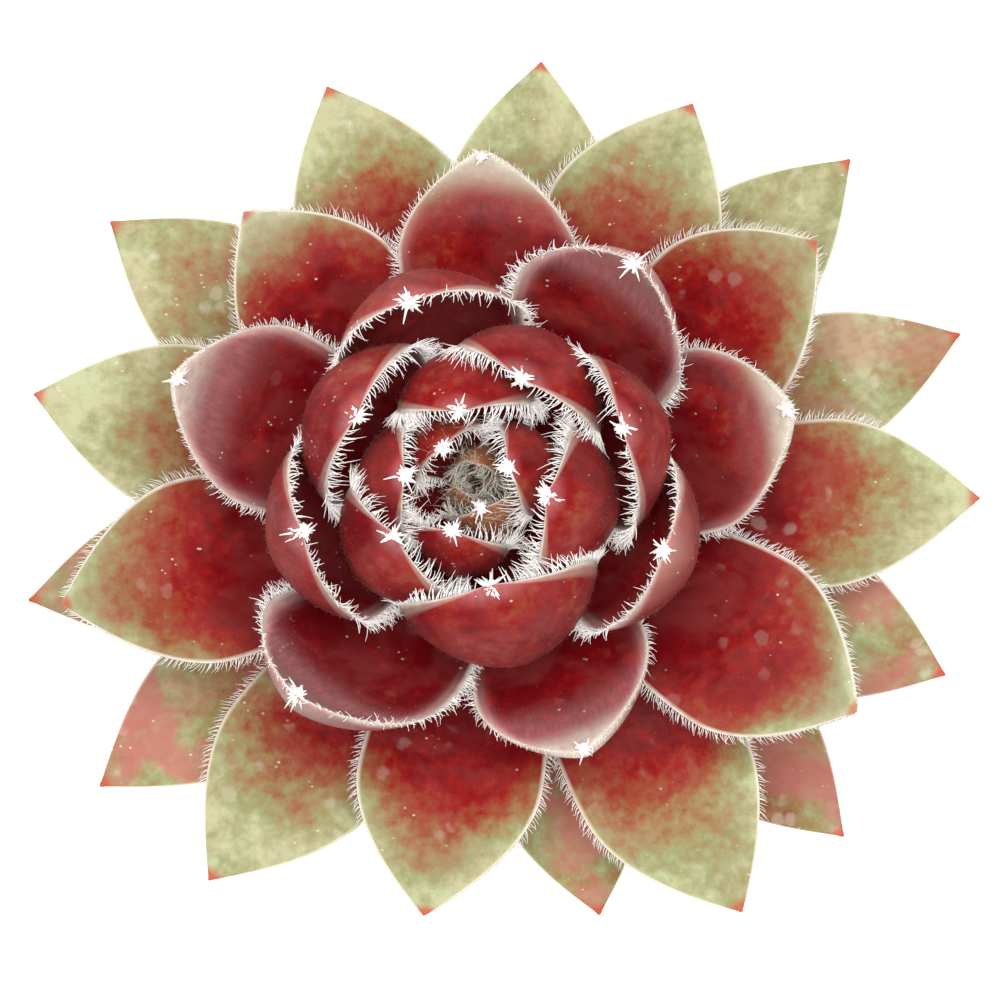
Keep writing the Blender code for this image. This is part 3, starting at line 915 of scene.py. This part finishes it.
def crumb_piece(name, count, least, most, finish, seed):
    """Loose crumbs or stones on the soil.

    Each lump has the 8 corners of a cube and a pole over each of its 6 faces, all on a ball, then moved in or
    out, stretched along each axis and turned at random.
    """
    chance = np.random.default_rng(seed)
    turn = chance.uniform(0, 2 * np.pi, count)
    radius = np.sqrt(chance.uniform(0.08, 1, count)) * (POT_RIM_RADIUS - POT_WALL - 2.0)
    size = chance.uniform(least, most, count)
    across = radius * np.cos(turn)
    back = radius * np.sin(turn)
    height = soil_height(across, back) + size * 0.25
    middle = np.stack((across + POT_AXIS[0], back + POT_AXIS[1], height), axis=-1)
    cube = np.array([(x, y, z) for x in (-1, 1) for y in (-1, 1) for z in (-1, 1)], float) / math.sqrt(3)
    poles = np.array([(1, 0, 0), (-1, 0, 0), (0, 1, 0), (0, -1, 0), (0, 0, 1), (0, 0, -1)], float)
    shape = np.concatenate((cube, poles))
    lump = shape[None] * chance.uniform(0.78, 1.15, (count, len(shape), 1))
    lump = lump * chance.uniform(0.7, 1.2, (count, 1, 3))
    spin = chance.uniform(0, 2 * np.pi, (count, 1))
    turned_x = lump[..., 0] * np.cos(spin) - lump[..., 1] * np.sin(spin)
    turned_y = lump[..., 0] * np.sin(spin) + lump[..., 1] * np.cos(spin)
    lump = np.stack((turned_x, turned_y, lump[..., 2]), axis=-1) * size[:, None, None]
    points = (middle[:, None] + lump).reshape(-1, 3)
    loops = ((4, 5, 7, 6), (0, 2, 3, 1), (2, 6, 7, 3), (0, 1, 5, 4), (1, 3, 7, 5), (0, 4, 6, 2))
    faces = []
    for pole, loop in enumerate(loops, len(cube)):
        for first, second in zip(loop, loop[1:] + loop[:1]):
            normal = np.cross(shape[first] - shape[pole], shape[second] - shape[pole])
            faces.append((pole, first, second) if normal @ shape[pole] > 0 else (pole, second, first))
    faces = np.array(faces)[None] + np.arange(count)[:, None, None] * len(shape)
    made = mesh_object(name, points, faces.reshape(-1, 3).tolist(), finish)
    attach(made, "root")
    return made


# The stem's radius at each height: height, radius.
STEM = np.array(((34.0, 3.2), (46.0, 5.6), (52.0, 6.1), (59.5, 5.4), (66.0, 4.1), (70.6, 2.6), (72.1, 1.4)))


def stem_piece():
    """The short stem: a turned solid, ribbed by sines round it and up it, leaning with the leaves."""
    height = np.linspace(34.0, 72.4, 110)[:, None]
    turn = np.linspace(0, 2 * np.pi, 96, endpoint=False)[None, :]
    radius = np.interp(height, STEM[:, 0], STEM[:, 1]) * np.where(height > 72.1, 0.4, 1.0)
    relief = 0.16 * np.sin(9 * turn + height * 1.3) + 0.12 * np.sin(height * 4.2 + 2 * np.sin(3 * turn))
    radius = radius + relief * np.clip(radius / 6, 0, 1) - 0.15
    points, faces = closed_loft(leaned(radius, height, turn))
    return mesh_object("stem_stub", points, faces, STEM_BARK)


# --------------------------------------------------------------- the plant


def tier_of(leaf, starts):
    """The name of the tier that a leaf belongs to, by its age and the ages at which the later tiers begin."""
    return TIERS[np.searchsorted(starts, leaf[0], side="right")]


for count, leaf in enumerate(LEAVES):
    blade = leaf_piece(f"blade_{count:02d}", leaf)
    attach(blade, "root")
    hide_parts(f"leaf_{count:02d}")

for tier in TIERS:
    leaves = [leaf for leaf in LEAVES if tier_of(leaf, HAIR_TIER_AGES) == tier]
    lashes = [bunch for leaf in leaves if leaf not in LEAVES[:YOUNGEST] for bunch in fringe(leaf)]
    hair_piece(f"lashes_{tier}", lashes, FRINGE_HAIR)
    fuzz = [bunch for leaf in leaves for bunch in down_on(leaf)]
    hair_piece(f"down_{tier}", fuzz, DOWN_HAIR)

# Each white star at a bud leaf's point has long hairs and, round their roots, short stout ones.
tufts = []
for leaf in LEAVES:
    if TUFT_AGES[0] < leaf[0] < TUFT_AGES[1]:
        reach = float(np.interp(leaf[0], (0, 6, 16, 20, 22), (0.9, 1.20, 1.25, 1.05, 0.85)))
        tufts.append(tuft(leaf, 26, reach, 0.17 * reach))
        tufts.append(tuft(leaf, 16, 0.6 * reach, 0.36 * reach))
hair_piece("tip_tufts", tufts, WOOL)
eye = eye_hairs() + [bunch for leaf in LEAVES[:YOUNGEST] for bunch in fringe(leaf)]
hair_piece("eye_tangle", eye, EYE_HAIR)

pot = pot_piece()
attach(pot, "root")
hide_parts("pot")

soil = soil_piece()
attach(soil, "root")
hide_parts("soil")
crumb_piece("soil_crumbs", 2600, 0.25, 0.75, POTTING_MIX, 11)
crumb_piece("soil_grit", 420, 0.35, 1.05, GRIT, 12)

stub = stem_piece()
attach(stub, "root")
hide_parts("stem")


# --------------------------------------------------- floor, light and camera


# The floor's half side and drop are in mm. The places of the lamps and the lens are in metres.
FLOOR_REACH = 1500
FLOOR_DROP = 0.05
LAMP_AIM = np.array((0.0, 0.0, 0.06))
LENS_PLACE = (0.000271, -0.000773, 0.520)
LENS_LENGTH = 190.8


def floor():
    """A plain pale floor under the pot."""
    paper = Finish("white_floor")
    grain = paper.noise(paper.place(), 30.0, 2.0)
    tone = paper.mix(grain, (0.985, 0.985, 0.985), (1.0, 1.0, 1.0))
    glow = {"Emission_Strength": 0.5, "Emission_Color": (1.0, 1.0, 1.0, 1.0)}
    finish = paper.finish(tone, 0.9, Specular_IOR_Level=0.1, **glow)
    square = np.array(((-1, -1, 0), (1, -1, 0), (1, 1, 0), (-1, 1, 0)), float)
    corners = square * FLOOR_REACH - (0, 0, FLOOR_DROP)
    made = mesh_object("floor", corners, [(0, 1, 2, 3)], finish)


def lamp(name, place, size, power):
    """A square soft lamp, in metres and watts, aimed at the rosette."""
    data = bpy.data.lights.new(name, "AREA")
    data.size = size
    data.energy = power
    made = bpy.data.objects.new(name, data)
    made.location = place
    made.rotation_euler = Vector(LAMP_AIM - place).to_track_quat("-Z", "Y").to_euler()
    bpy.context.scene.collection.objects.link(made)


def surroundings(strength):
    """An even white world."""
    world = bpy.data.worlds.new("white_room")
    world.use_nodes = True
    background = world.node_tree.nodes["Background"]
    background.inputs["Color"].default_value = (1.0, 1.0, 1.0, 1.0)
    background.inputs["Strength"].default_value = strength
    bpy.context.scene.world = world


def overhead_camera():
    """A long lens straight above the rosette."""
    data = bpy.data.cameras.new("overhead")
    data.lens = LENS_LENGTH
    data.sensor_width = 36.0
    data.clip_start = 0.01
    made = bpy.data.objects.new("overhead", data)
    made.location = LENS_PLACE
    bpy.context.scene.collection.objects.link(made)
    bpy.context.scene.camera = made


floor()
lamp("top_softbox", (0.02, 0.10, 0.78), 0.50, 5.6)
lamp("side_softbox", (-0.40, -0.20, 0.68), 0.50, 0.9)
surroundings(0.33)
overhead_camera()
bpy.context.scene.view_settings.view_transform = "Standard"
